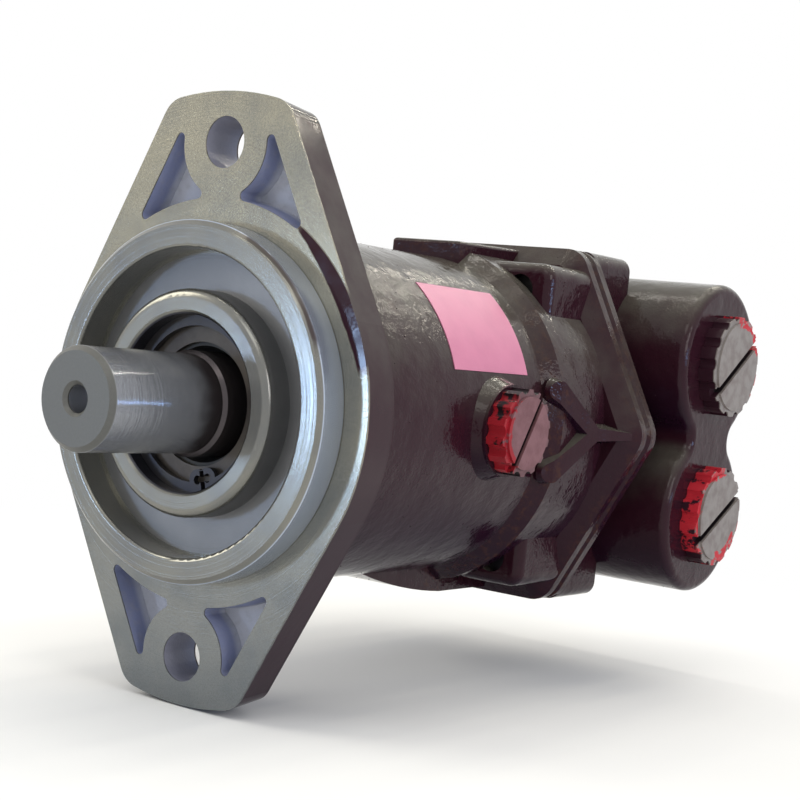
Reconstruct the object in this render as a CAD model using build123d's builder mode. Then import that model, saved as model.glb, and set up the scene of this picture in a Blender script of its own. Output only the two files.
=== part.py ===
from build123d import *
import os
from math import cos, pi, radians, sin, sqrt

# Hydraulic motor with axial pistons on a fixed cam plate.
# The origin is on the shaft axis, in the flange's machined front face. The shaft points to -Y, the body
# lies along +Y, the three ports open to +X, and the two flange bolts stand one above the other along Z.
# Lengths are in millimetres. Distances called front and back are Y values, front being the smaller.

# Clearances
running = 0.06
loose = 0.3

# Mounting flange, two-bolt size B
pilot_radius = 50.8
pilot_height = 9.7
bolt_offset = 73.025
bolt_hole_radius = 7.15
flange_thickness = 13.5
flange_side_angle = 28
flange_end_radius = bolt_offset + 14
flange_corner = 8.5
flange_draft = 6
pocket_inner_radius = pilot_radius + 7
pocket_boss_radius = 15.3
pocket_rounding = 1.5
pocket_depth = 8.5
recess_radius = pilot_radius - 7.6
recess_floor = 3
hub_front = -9

# Shaft
shaft_radius = 14
shaft_tip = -48
shaft_chamfer = 1.4
centre_hole_radius = 3.75
centre_hole_depth = 9
journal_radius = shaft_radius + 1
journal_front = -6
spline_core = shaft_radius - 1
spline_tip = shaft_radius + 0.6
spline_teeth = 16
rear_journal_radius = shaft_radius - 1.5
rear_journal_length = 26

# Front bearing, deep-groove ball, 35 x 72 x 17
bearing_bore = journal_radius + 2.5
bearing_radius = bearing_bore + 18.5
bearing_front = 12
bearing_width = 17
bearing_back = bearing_front + bearing_width
bearing_pitch = (bearing_bore + bearing_radius) / 2
ball_radius = 5.55
ball_count = 9
race_shoulder = 4.3
cage_half_width = 6.8
cage_half_thickness = 2
shaft_shoulder_radius = bearing_bore + 3.5

# Shaft seal and the rings that hold it and the bearing
seal_radius = journal_radius + 10
seal_front = -1
seal_back = 8
seal_ring_front = -3.6
seal_ring_thickness = 1.8
ring_groove_depth = 1.6
ring_width = 4
plier_lug_radius = 3
plier_hole_radius = 1.3
plier_angle = 255
plier_spread = 5
bearing_ring_thickness = 2
hub_radius = seal_radius + 7

# Where housing and cover meet, and the places measured from there
seam = 142
block_back = seam - 4
block_front = block_back - 54
cam_middle = block_front - 26
cam_front = cam_middle - 24

# Rotating group: the bores clear both the spring inside their circle and each other
group_count = 9
piston_radius = 8.5
bore_web = 2.1
spring_cavity_radius = spline_core + 5.4
group_pitch = max(
    spring_cavity_radius + bore_web + piston_radius,
    (piston_radius + bore_web / 1.5) / sin(pi / group_count),
)
cam_tilt = 16
cam_pin_radius = 2
cam_pin_half_length = 4
piston_ball_radius = piston_radius - 2.5
ball_height = piston_ball_radius + 2
slipper_foot_radius = piston_radius + 0.3
slipper_foot_height = 3
slipper_neck_radius = piston_radius - 0.9
slipper_height = ball_height + 3
retainer_thickness = 3.4
retainer_radius = group_pitch + 12
guide_radius = group_pitch - slipper_neck_radius - loose - 1.1
guide_hub_radius = spline_tip + 3.4
guide_hub_length = 13
cam_hole = guide_radius + 2
block_radius = group_pitch + piston_radius + 3.5
piston_bore_end = block_back - 8
spring_cavity_front = block_front + 28
spring_wire = 1.4
spring_turns = 4
washer_thickness = 2
snap_ring_thickness = 1.5
push_pin_radius = 1.5
push_pin_pitch = spline_tip + 2
kidney_radius = 4.5
kidney_sweep = 124
valve_plate_radius = group_pitch + 11
valve_pin_radius = 2
valve_pin_x = 5 - valve_plate_radius
valve_pin_length = 5
swivel_centre = cam_middle + ball_height / cos(radians(cam_tilt))

# Housing barrel and its rear half, where the cover is bolted on
wall = 7
cavity_radius = block_radius + 4
barrel_radius = max(cavity_radius + wall, pilot_radius + 1.2)
flange_waist = barrel_radius + 6.8
pocket_side = barrel_radius - 1
cam_pin_height = (bearing_radius + cavity_radius) / 2
shoulder = seam - 39
shoulder_slope = 3
rear_radius = barrel_radius + 4
rim_thickness = 4.5
rim_slope_length = 5
rim_slope_angle = 50
rear_side_distance = rear_radius + 5
rear_top = rear_radius + 4
rear_corner = 9
rim_chamfer = 1.2
screw_x = barrel_radius - 21
screw_z = barrel_radius - 8
ear_front = seam - 31
ear_side = screw_x + 11.5
ear_top = screw_z + 9
ear_corner = 5
ear_nose = 3.5
pad_half_width = 13.5
top_pad_front = seam - 42
top_pad_height = rear_top - 2.5
pad_back_height = rear_top - 1.5
bottom_pad_front = 58
rib_joint = seam - 22
rib_joint_height = rear_radius + 4.5
rib_tip = rear_radius + 10
rib_width = 8
rib_spread = 13
rib_draft = 12

# Drain port
drain_y = cam_middle + 17
drain_boss_radius = 14
drain_boss_edge = 1
drain_boss_flare = 20
drain_face = barrel_radius + 4
drain_bore = 10.2
drain_bore_depth = 8
drain_passage = 5
drain_seal_wire = 0.9

# Cover with the two ports
gasket_thickness = 0.8
gasket_inset = 1.6
cover_front = seam + gasket_thickness
port_y = cover_front + 45.2
port_z = 26.5
port_boss_radius = 28
port_waist_fillet = 6
port_face = rear_side_distance + 8
cover_far_side = 6 - barrel_radius
port_bore = 12.5
port_bore_depth = 22
port_passage = 9
port_seal_wire = 1.2
far_side_fillet = 9
port_face_fillet = 3
neck_taper = 25
corner_block_side = ear_side - 4
corner_block_back = cover_front + 27.2

# Screws and dowels that hold the cover
screw_radius = 5
screw_head_radius = 8
screw_head_height = 10
screw_seat = port_y + 9
screw_grip = 27
screw_socket = 8
dowel_radius = 3
dowel_x = barrel_radius + 6
dowel_half_length = 6

# Rear needle bearing
needle_radius = 1.25
needle_count = 18
needle_bearing_front = cover_front + 2.2
needle_bearing_length = 17
needle_end_room = 2
cup_thickness = 1.2
rear_journal_front = block_back - 2
rear_journal_back = rear_journal_front + rear_journal_length
needle_pitch = rear_journal_radius + running + needle_radius
cup_inner = needle_pitch + needle_radius + running
cup_outer = cup_inner + cup_thickness

# Plugs and sticker
plug_head_radius = 17.4
plug_head_height = 6.2
plug_shank_length = 11
drain_plug_head_radius = 13.2
drain_plug_head_height = 6
drain_plug_shank_length = 7
plug_scallops = 14
plug_scallop_radius = 2.1
plug_crown = 0.8
plug_slot_width = 0.17
sticker_front = 52
sticker_back = 92
sticker_low_angle = 19
sticker_high_angle = 52
sticker_thickness = 0.25

cam_normal = Vector(-sin(radians(cam_tilt)), cos(radians(cam_tilt)), 0)
cam_plane = Plane(
    origin=Vector(0, swivel_centre, 0) - cam_normal * ball_height,
    x_dir=(-cos(radians(cam_tilt)), -sin(radians(cam_tilt)), 0),
    z_dir=cam_normal,
)


def station(y):
    """The plane across the shaft at this Y. Its normal is +Y, its own X is -X and its own Y is +Z."""
    return Plane(origin=(0, y, 0), x_dir=(-1, 0, 0), z_dir=(0, 1, 0))


def turned(*points):
    """A body turned about the shaft axis from a closed half section of (radius, y) points."""
    with BuildPart() as body:
        with BuildSketch(Plane.XY):
            with BuildLine():
                Polyline(*points, close=True)
            make_face()
        revolve(axis=Axis.Y)
    return body


def ring(inner, outer, front, back):
    """A plain ring about the shaft axis."""
    return turned((inner, front), (outer, front), (outer, back), (inner, back))


def rims(body, radius, y):
    """The edges of a body that are circles about the shaft axis, of this radius and at this Y."""
    circles = body.edges().filter_by(GeomType.CIRCLE)
    return circles.filter_by(lambda edge: abs(edge.radius - radius) < 0.01 and abs(edge.arc_center.Y - y) < 0.01)


def flange_outline():
    """The flange's outline: a round waist, straight sides that touch it, and two round ends."""
    angle = radians(flange_side_angle)
    half_side = sqrt(flange_end_radius**2 - flange_waist**2)
    touch = (flange_waist * cos(angle), flange_waist * sin(angle))
    end = (touch[0] - half_side * sin(angle), touch[1] + half_side * cos(angle))
    with BuildSketch() as outline:
        with BuildLine():
            ThreePointArc((touch[0], -touch[1]), (flange_waist, 0), touch)
            Line(touch, end)
            ThreePointArc(end, (0, flange_end_radius), (-end[0], end[1]))
            Line((-end[0], end[1]), (-touch[0], touch[1]))
            mirror(about=Plane.XZ)
            ThreePointArc((-touch[0], touch[1]), (-flange_waist, 0), (-touch[0], -touch[1]))
        make_face()
        corners = outline.vertices().group_by(SortBy.DISTANCE)[-1]
        fillet(corners, flange_corner)
    return outline.sketch


def pockets():
    """The four cast pockets that lighten the flange, between the pilot, the bolt bosses and the sides."""
    angle = radians(flange_side_angle)
    low = pilot_radius - 1
    high = bolt_offset + 4
    with BuildSketch() as pocket:
        Polygon(
            (0, low),
            ((pocket_side - low * sin(angle)) / cos(angle), low),
            ((pocket_side - high * sin(angle)) / cos(angle), high),
            (0, high),
            align=None,
        )
        Circle(pocket_inner_radius, mode=Mode.SUBTRACT)
        with Locations((0, bolt_offset)):
            Circle(pocket_boss_radius, mode=Mode.SUBTRACT)
        offset(amount=-pocket_rounding)
        offset(amount=pocket_rounding)
        mirror(about=Plane.YZ)
        mirror(about=Plane.XZ)
    return pocket.sketch


def rear_outline(inset):
    """The outline where housing and cover meet: a hexagon that follows the flange's side angle."""
    angle = radians(flange_side_angle)
    side = rear_side_distance - inset
    top = rear_top - inset
    vertex = side / cos(angle)
    corner = (side - top * sin(angle)) / cos(angle)
    with BuildSketch() as outline:
        Polygon(
            (vertex, 0), (corner, top), (-corner, top), (-vertex, 0), (-corner, -top), (corner, -top), align=None
        )
        fillet(outline.vertices(), rear_corner - inset)
    return outline.sketch


def kidneys(width, sweep):
    """The two kidney-shaped openings, one above and one below the shaft."""
    with BuildSketch() as openings:
        for middle in (90, 270):
            arc = CenterArc((0, 0), group_pitch, middle - sweep / 2, sweep, mode=Mode.PRIVATE)
            SlotArc(arc, width)
    return openings.sketch


screw_places = [(x, z) for x in (-screw_x, screw_x) for z in (-screw_z, screw_z)]

# Top pad: a flat cast block on the crown, in front of the rear flange
with BuildPart() as top_pad:
    with BuildSketch(Plane.YZ):
        Polygon(
            (top_pad_front, cavity_radius + 2),
            (top_pad_front, top_pad_height),
            (seam - 2, pad_back_height),
            (seam - 2, cavity_radius + 2),
            align=None,
        )
    extrude(amount=pad_half_width, both=True)
    fillet(top_pad.faces().sort_by(Axis.Z)[-1].edges(), 1.2)

# Bottom pad: the same width, with a keel that deepens towards the rear
with BuildPart() as bottom_pad:
    with BuildSketch(Plane.YZ):
        with BuildLine():
            keel = (shoulder + 5, -pad_back_height)
            Spline((bottom_pad_front, -barrel_radius + 4), (shoulder - 18, 2 - top_pad_height), keel)
            Polyline(
                keel,
                (seam - 2, -pad_back_height),
                (seam - 2, -cavity_radius - 2),
                (bottom_pad_front, -cavity_radius - 2),
                (bottom_pad_front, -barrel_radius + 4),
            )
        make_face()
    extrude(amount=pad_half_width, both=True)
    fillet(bottom_pad.edges().filter_by(Axis.Z).group_by(Axis.Y)[0], 1.5)

# Side rib: two branches that leave the shoulder, meet and run on to the rear flange
rib_lines = [
    ((shoulder, rib_spread), (rib_joint, 0)),
    ((shoulder, -rib_spread), (rib_joint, 0)),
    ((rib_joint, 0), (seam, 0)),
]
with BuildPart() as side_rib:
    for rib_start, rib_end in rib_lines:
        middle = ((rib_start[0] + rib_end[0]) / 2, (rib_start[1] + rib_end[1]) / 2)
        with BuildSketch(Plane.YZ.offset(barrel_radius)):
            SlotCenterPoint(middle, rib_end, rib_width)
        extrude(amount=rib_tip - barrel_radius, taper=rib_draft)
    with BuildSketch(Plane.XY):
        Polygon(
            (barrel_radius - 1, shoulder - 8),
            (rear_radius, shoulder),
            (rib_joint_height, rib_joint),
            (rib_tip, seam - rim_thickness),
            (barrel_radius - 1, seam - rim_thickness),
            align=None,
        )
    extrude(amount=rib_spread + rib_width, both=True, mode=Mode.INTERSECT)

# Ears: a block whose four corners stand out of the round rear half and take the cover screws
with BuildPart() as ears:
    with BuildSketch(station(ear_front)):
        RectangleRounded(2 * ear_side, 2 * ear_top, ear_corner)
    extrude(amount=seam - 2 - ear_front)
    fillet(ears.faces().sort_by(Axis.Y)[0].edges(), ear_nose)

# Housing: flange, pilot, hub, barrel and rear flange are one casting
with BuildPart() as housing:
    with BuildSketch(Plane.XY):
        with BuildLine():
            Polyline(
                (0, hub_front),
                (hub_radius, hub_front),
                (hub_radius, recess_floor),
                (recess_radius, recess_floor),
                (recess_radius, -pilot_height),
                (pilot_radius, -pilot_height),
                (pilot_radius, 1),
                (barrel_radius, 1),
                (barrel_radius, shoulder - shoulder_slope),
                (rear_radius, shoulder + shoulder_slope),
                (rear_radius, seam),
                (0, seam),
                close=True,
            )
        make_face()
    revolve(axis=Axis.Y)
    fillet(rims(housing, hub_radius, hub_front), 2.5)
    fillet(rims(housing, hub_radius, recess_floor) + rims(housing, recess_radius, recess_floor), 3)
    chamfer(rims(housing, pilot_radius, -pilot_height), 1.5)
    fillet(rims(housing, recess_radius, -pilot_height), 1)

    with BuildSketch(station(0)):
        add(flange_outline())
    extrude(amount=flange_thickness, taper=flange_draft)
    fillet(rims(housing, barrel_radius, flange_thickness), 3.5)

    with BuildSketch(station(0)):
        add(pockets())
    extrude(amount=pocket_depth, taper=4, mode=Mode.SUBTRACT)
    with BuildSketch(station(0)):
        with Locations((0, bolt_offset), (0, -bolt_offset)):
            Circle(bolt_hole_radius)
    extrude(amount=flange_thickness, mode=Mode.SUBTRACT)

    add(top_pad.part)
    add(bottom_pad.part)
    add(side_rib.part)
    add(side_rib.part.mirror(Plane.YZ))

    add(ears.part)

    with BuildSketch(station(seam - rim_thickness)):
        add(rear_outline(0))
    extrude(amount=-rim_slope_length, taper=rim_slope_angle)
    with BuildSketch(station(seam - rim_thickness)):
        add(rear_outline(0))
    extrude(amount=rim_thickness)
    chamfer(housing.faces().sort_by(Axis.Y)[-1].outer_wire().edges(), rim_chamfer)

    with BuildSketch(Plane.YZ.offset(cavity_radius + 2)):
        with Locations((drain_y, 0)):
            Circle(drain_boss_radius)
    extrude(amount=drain_face - cavity_radius - 2)
    with BuildSketch(Plane.YZ.offset(drain_face - drain_boss_edge)):
        with Locations((drain_y, 0)):
            Circle(drain_boss_radius)
    extrude(amount=cavity_radius + 2 - drain_face + drain_boss_edge, taper=-drain_boss_flare)

    # Bores, from the seal at the front to the open cavity at the rear
    groove = seal_radius + ring_groove_depth
    bearing_groove = bearing_radius + ring_groove_depth
    with BuildSketch(Plane.XY):
        with BuildLine():
            Polyline(
                (0, hub_front - 1),
                (seal_radius, hub_front - 1),
                (seal_radius, seal_ring_front - running),
                (groove, seal_ring_front - running),
                (groove, seal_ring_front + seal_ring_thickness + running),
                (seal_radius, seal_ring_front + seal_ring_thickness + running),
                (seal_radius, seal_back),
                (seal_radius - 5, seal_back),
                (seal_radius - 5, bearing_front),
                (bearing_radius, bearing_front),
                (bearing_radius, bearing_back),
                (bearing_groove, bearing_back),
                (bearing_groove, bearing_back + bearing_ring_thickness + running),
                (bearing_radius, bearing_back + bearing_ring_thickness + running),
                (bearing_radius, cam_front),
                (cavity_radius, cam_front),
                (cavity_radius, seam + 1),
                (0, seam + 1),
                close=True,
            )
        make_face()
    revolve(axis=Axis.Y, mode=Mode.SUBTRACT)
    chamfer(rims(housing, seal_radius, hub_front), 1)

    # Hole for the cam plate's pin, tapped holes for the cover screws and holes for the dowels
    with BuildSketch(station(cam_front)):
        with Locations((0, cam_pin_height)):
            Circle(cam_pin_radius)
    extrude(amount=-cam_pin_half_length, mode=Mode.SUBTRACT)
    with BuildSketch(station(seam)):
        with Locations(*screw_places):
            Circle(screw_radius + running)
    extrude(amount=-screw_grip - 4, mode=Mode.SUBTRACT)
    with BuildSketch(station(seam)):
        with Locations((-dowel_x, 0), (dowel_x, 0)):
            Circle(dowel_radius)
    extrude(amount=-dowel_half_length - 1, mode=Mode.SUBTRACT)

    # Drain port: a threaded bore and a smaller hole into the cavity
    with BuildSketch(Plane.YZ.offset(drain_face)):
        with Locations((drain_y, 0)):
            Circle(drain_bore)
    extrude(amount=-drain_bore_depth, mode=Mode.SUBTRACT)
    with BuildSketch(Plane.YZ.offset(drain_face)):
        with Locations((drain_y, 0)):
            Circle(drain_bore + 2 * drain_seal_wire)
    extrude(amount=-2 * drain_seal_wire, mode=Mode.SUBTRACT)
    with BuildSketch(Plane.YZ.offset(drain_face)):
        with Locations((drain_y, 0)):
            Circle(drain_passage)
    extrude(amount=-(drain_face - cavity_radius + 3), mode=Mode.SUBTRACT)

# The cover's two port bosses lie across the shaft, one above the other, joined by a narrow waist
with BuildPart() as port_bosses:
    with BuildSketch(Plane.YZ.offset(cover_far_side)) as bosses:
        with Locations((port_y, port_z), (port_y, -port_z)):
            Circle(port_boss_radius)
        fillet(bosses.vertices(), port_waist_fillet)
    extrude(amount=port_face - cover_far_side)
    fillet(port_bosses.edges().group_by(Axis.X)[0], far_side_fillet)
    fillet(port_bosses.edges().group_by(Axis.X)[-1], port_face_fillet)

# Cover: a thin rim, a tapering neck, corner blocks for the screws and the port bosses
with BuildPart() as end_cover:
    with BuildSketch(station(cover_front)):
        add(rear_outline(0))
    extrude(amount=rim_thickness)
    chamfer(end_cover.faces().sort_by(Axis.Y)[0].edges(), rim_chamfer)
    with BuildSketch(station(cover_front + rim_thickness)):
        add(rear_outline(0))
    extrude(amount=port_y - cover_front - rim_thickness, taper=neck_taper)
    with BuildSketch(station(cover_front + rim_thickness - 1)):
        RectangleRounded(2 * corner_block_side, 2 * rear_top, ear_corner)
    extrude(amount=corner_block_back - cover_front - rim_thickness + 1)
    fillet(end_cover.faces().filter_by(Plane.XZ).sort_by(Axis.Y)[-1].edges(), 2)
    add(port_bosses.part)

    # Bore of the rear bearing
    with BuildSketch(station(cover_front)):
        Circle(cup_outer)
    extrude(amount=needle_bearing_front + needle_bearing_length + 3 - cover_front, mode=Mode.SUBTRACT)

    # Ports, passages and the kidneys that lead to the valve plate
    for side in (-1, 1):
        with BuildSketch(Plane.YZ.offset(port_face)):
            with Locations((port_y, side * port_z)):
                Circle(port_bore)
        extrude(amount=-port_bore_depth, mode=Mode.SUBTRACT)
        with BuildSketch(Plane.YZ.offset(port_face)):
            with Locations((port_y, side * port_z)):
                Circle(port_bore + 2 * port_seal_wire)
        extrude(amount=-2 * port_seal_wire, mode=Mode.SUBTRACT)
        with BuildSketch(Plane.YZ.offset(port_face)):
            with Locations((port_y, side * port_z)):
                Circle(port_passage)
        extrude(amount=-port_face - port_passage, mode=Mode.SUBTRACT)
    with BuildSketch(station(cover_front)):
        add(kidneys(2 * kidney_radius, kidney_sweep / 2))
    extrude(amount=port_y - cover_front, mode=Mode.SUBTRACT)

    # Screw holes, with flat seats for the heads in the round back
    with BuildSketch(station(cover_front)):
        with Locations(*screw_places):
            Circle(screw_radius + loose)
    extrude(amount=screw_seat - cover_front + 1, mode=Mode.SUBTRACT)
    with BuildSketch(station(screw_seat)):
        with Locations(*screw_places):
            Circle(screw_head_radius + 1)
    extrude(amount=port_boss_radius, mode=Mode.SUBTRACT)
    with BuildSketch(station(cover_front)):
        with Locations((-dowel_x, 0), (dowel_x, 0)):
            Circle(dowel_radius)
    extrude(amount=dowel_half_length, mode=Mode.SUBTRACT)
    with BuildSketch(station(cover_front)):
        with Locations((valve_pin_x, 0)):
            Circle(valve_pin_radius)
    extrude(amount=valve_pin_length, mode=Mode.SUBTRACT)

# Joint gasket, set in from both rims
with BuildPart() as joint_gasket:
    with BuildSketch(station(seam)):
        add(rear_outline(gasket_inset))
        Circle(cavity_radius, mode=Mode.SUBTRACT)
        with Locations(*screw_places):
            Circle(screw_radius + loose, mode=Mode.SUBTRACT)
        with Locations((-dowel_x, 0), (dowel_x, 0)):
            Circle(dowel_radius, mode=Mode.SUBTRACT)
    extrude(amount=gasket_thickness)

# Four socket head screws
with BuildPart() as cover_screws:
    with BuildSketch(station(seam - screw_grip)):
        with Locations(*screw_places):
            Circle(screw_radius)
    extrude(amount=screw_seat - seam + screw_grip)
    with BuildSketch(station(screw_seat)):
        with Locations(*screw_places):
            Circle(screw_head_radius)
    extrude(amount=screw_head_height)
    chamfer(cover_screws.faces().filter_by(Plane.XZ).group_by(Axis.Y)[-1].edges(), 0.8)
    with BuildSketch(station(screw_seat + screw_head_height)):
        with Locations(*screw_places):
            RegularPolygon(screw_socket / 2, 6, major_radius=False)
    extrude(amount=-screw_head_height / 2, mode=Mode.SUBTRACT)

# Two dowels that line the cover up
with BuildPart() as locating_dowels:
    with BuildSketch(station(seam - dowel_half_length)):
        with Locations((-dowel_x, 0), (dowel_x, 0)):
            Circle(dowel_radius)
    extrude(amount=2 * dowel_half_length)

# Drive shaft, with splines for the guide and the cylinder block
with BuildPart() as drive_shaft:
    with BuildSketch(Plane.XY):
        with BuildLine():
            Polyline(
                (0, shaft_tip),
                (shaft_radius - shaft_chamfer, shaft_tip),
                (shaft_radius, shaft_tip + shaft_chamfer),
                (shaft_radius, journal_front - 1),
                (journal_radius, journal_front),
                (journal_radius, bearing_front - 1),
                (bearing_bore, bearing_front),
                (bearing_bore, bearing_back),
                (shaft_shoulder_radius, bearing_back),
                (shaft_shoulder_radius, bearing_back + 4),
                (spline_tip, bearing_back + 6),
                (spline_tip, cam_front + 12),
                (spline_core, cam_front + 14),
                (spline_core, rear_journal_front),
                (rear_journal_radius, rear_journal_front),
                (rear_journal_radius, rear_journal_back - 1),
                (rear_journal_radius - 1, rear_journal_back),
                (0, rear_journal_back),
                close=True,
            )
        make_face()
    revolve(axis=Axis.Y)
    with BuildSketch(station(cam_front + 13)):
        Circle(spline_core)
        with PolarLocations((spline_core + spline_tip) / 2 - 0.5, spline_teeth):
            Trapezoid(2.9, spline_tip - spline_core + 1, 75, rotation=-90)
    extrude(amount=spring_cavity_front - cam_front - 13)
    with BuildSketch(station(shaft_tip)):
        Circle(centre_hole_radius)
    extrude(amount=centre_hole_depth, mode=Mode.SUBTRACT)
    chamfer(rims(drive_shaft, centre_hole_radius, shaft_tip), 1)

# Front bearing
groove_radius = ball_radius + running
bearing_middle = bearing_front + bearing_width / 2
with BuildPart() as front_bearing_outer_race:
    add(ring(bearing_pitch + race_shoulder, bearing_radius, bearing_front, bearing_back).part)
    with BuildSketch(Plane.XY):
        with Locations((bearing_pitch, bearing_middle)):
            Circle(groove_radius)
    revolve(axis=Axis.Y, mode=Mode.SUBTRACT)
with BuildPart() as front_bearing_inner_race:
    add(ring(bearing_bore, bearing_pitch - race_shoulder, bearing_front, bearing_back).part)
    with BuildSketch(Plane.XY):
        with Locations((bearing_pitch, bearing_middle)):
            Circle(groove_radius)
    revolve(axis=Axis.Y, mode=Mode.SUBTRACT)
ball_places = station(bearing_middle)
with BuildPart() as front_bearing_balls:
    with Locations(ball_places):
        with PolarLocations(bearing_pitch, ball_count):
            Sphere(ball_radius)
with BuildPart() as front_bearing_cage:
    add(ring(
        bearing_pitch - cage_half_thickness, bearing_pitch + cage_half_thickness,
        bearing_middle - cage_half_width, bearing_middle + cage_half_width,
    ).part)
    with Locations(ball_places):
        with PolarLocations(bearing_pitch, ball_count):
            Cylinder(ball_radius + running, 3 * ball_radius, rotation=(0, 90, 0), mode=Mode.SUBTRACT)
bearing_retaining_ring = ring(
    bearing_radius - ring_width, bearing_radius + ring_groove_depth - running, bearing_back,
    bearing_back + bearing_ring_thickness,
)

# Shaft seal: steel case, rubber lip and garter spring
lip_radius = journal_radius + running
seal_case = seal_radius - 1.5
shaft_seal_case = turned(
    (seal_case, seal_back), (seal_case, seal_front + 1.5), (lip_radius + 2.5, seal_front + 1.5),
    (lip_radius + 2.5, seal_front), (seal_radius, seal_front), (seal_radius, seal_back),
)
shaft_seal_lip = turned(
    (lip_radius + 1.5, seal_front + 1.5), (lip_radius + 5, seal_front + 1.5), (lip_radius + 5, seal_front + 3),
    (lip_radius + 2.2, seal_front + 3.4), (lip_radius + 2.2, seal_front + 7), (lip_radius + 0.6, seal_front + 7),
    (lip_radius, seal_front + 5.5), (lip_radius + 1, seal_front + 3),
)
with BuildPart() as seal_garter_spring:
    with BuildSketch(Plane.XY):
        with Locations((lip_radius + 2.2 + 0.7, seal_front + 5.7)):
            Circle(0.7)
    revolve(axis=Axis.Y)

# Retaining ring in front of the seal: it is open between two lugs with holes for pliers
with BuildPart() as seal_retaining_ring:
    lug_pitch = seal_radius - ring_width + 0.4
    with BuildSketch(station(seal_ring_front)):
        Circle(seal_radius + ring_groove_depth - running)
        Circle(seal_radius - ring_width + 1, mode=Mode.SUBTRACT)
        with PolarLocations(lug_pitch, 2, start_angle=plier_angle - plier_spread, angular_range=4 * plier_spread):
            Circle(plier_lug_radius)
        gap = Plane.XY.rotated((0, 0, plier_angle))
        with Locations(gap.location * Location((seal_radius, 0))):
            Rectangle(12, 1.6, mode=Mode.SUBTRACT)
        with PolarLocations(lug_pitch, 2, start_angle=plier_angle - plier_spread, angular_range=4 * plier_spread):
            Circle(plier_hole_radius, mode=Mode.SUBTRACT)
    extrude(amount=seal_ring_thickness)

# Cam plate: a thick disc cut off at the tilt that gives the pistons their stroke
with BuildPart() as cam_plate:
    add(ring(cam_hole, cavity_radius - 0.5, cam_front, cam_middle + cavity_radius).part)
    split(bisect_by=cam_plane, keep=Keep.BOTTOM)
    with BuildSketch(station(cam_front)):
        with Locations((0, cam_pin_height)):
            Circle(cam_pin_radius)
    extrude(amount=cam_pin_half_length, mode=Mode.SUBTRACT)
with BuildPart() as cam_plate_pin:
    with BuildSketch(station(cam_front - cam_pin_half_length)):
        with Locations((0, cam_pin_height)):
            Circle(cam_pin_radius)
    extrude(amount=2 * cam_pin_half_length)

# Slippers on the cam face, each with an open socket for a piston ball
with BuildPart() as slipper:
    with BuildSketch(Plane.XZ):
        with BuildLine():
            Polyline(
                (0, running),
                (slipper_foot_radius - 0.5, running),
                (slipper_foot_radius, 0.6),
                (slipper_foot_radius, slipper_foot_height),
                (slipper_neck_radius, slipper_foot_height),
                (slipper_neck_radius, slipper_height),
                (0, slipper_height),
                close=True,
            )
        make_face()
    revolve(axis=Axis.Z)
    with Locations((0, 0, ball_height)):
        Sphere(piston_ball_radius + running, mode=Mode.SUBTRACT)
    with Locations((0, 0, 0)):
        Cylinder(3.5, 1, align=(Align.CENTER, Align.CENTER, Align.MIN), mode=Mode.SUBTRACT)
        Cylinder(1, ball_height, align=(Align.CENTER, Align.CENTER, Align.MIN), mode=Mode.SUBTRACT)
with BuildPart() as slippers:
    with Locations(cam_plane):
        with PolarLocations(group_pitch, group_count):
            add(slipper.part)

# Retainer plate: it holds the slipper feet on the cam face and rides on the round guide
with BuildPart() as slipper_retainer:
    retainer_base = slipper_foot_height + running
    with BuildSketch(cam_plane.offset(retainer_base)):
        Circle(retainer_radius)
        with PolarLocations(group_pitch, group_count):
            Circle(slipper_neck_radius + loose, mode=Mode.SUBTRACT)
    extrude(amount=retainer_thickness)
    with Locations(cam_plane.offset(ball_height)):
        Sphere(guide_radius + running, mode=Mode.SUBTRACT)

# Guide: a ball-shaped collar on the shaft splines
with BuildPart() as retainer_guide:
    with Locations((0, swivel_centre, 0)):
        Sphere(guide_radius)
    add(ring(spline_core, guide_radius + 1, swivel_centre - guide_radius, swivel_centre - 7).part, mode=Mode.SUBTRACT)
    add(ring(0, guide_radius + 1, swivel_centre + 8, swivel_centre + guide_radius + 1).part, mode=Mode.SUBTRACT)
    add(ring(0, guide_hub_radius, swivel_centre, swivel_centre + guide_hub_length).part)
    with BuildSketch(station(swivel_centre - guide_radius - 1)):
        Circle(spline_tip + running)
    extrude(amount=2 * guide_radius + 2, mode=Mode.SUBTRACT)

# Cylinder block with its bores, kidney-side ports, splined bore and spring cavity
spring_cavity_back = block_back - 1.5
with BuildPart() as cylinder_block:
    add(ring(spline_tip + running, block_radius, block_front, block_back).part)
    with BuildSketch(station(block_front)):
        with PolarLocations(group_pitch, group_count):
            Circle(piston_radius + running)
    extrude(amount=piston_bore_end - block_front, mode=Mode.SUBTRACT)
    with BuildSketch(station(block_back)):
        with PolarLocations(group_pitch, group_count):
            Circle(kidney_radius)
    extrude(amount=-(block_back - piston_bore_end), mode=Mode.SUBTRACT)
    snap_groove = spring_cavity_back - 3
    with BuildSketch(Plane.XY):
        with BuildLine():
            Polyline(
                (0, spring_cavity_front),
                (spring_cavity_radius, spring_cavity_front),
                (spring_cavity_radius, snap_groove),
                (spring_cavity_radius + 1, snap_groove),
                (spring_cavity_radius + 1, snap_groove + snap_ring_thickness),
                (spring_cavity_radius, snap_groove + snap_ring_thickness),
                (spring_cavity_radius, block_back + 1),
                (0, block_back + 1),
                close=True,
            )
        make_face()
    revolve(axis=Axis.Y, mode=Mode.SUBTRACT)
    with BuildSketch(station(block_front)):
        with PolarLocations(push_pin_pitch, 3, start_angle=20):
            Circle(push_pin_radius + running)
    extrude(amount=spring_cavity_front - block_front, mode=Mode.SUBTRACT)
    chamfer(rims(cylinder_block, block_radius, block_front) + rims(cylinder_block, block_radius, block_back), 1.2)

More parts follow.
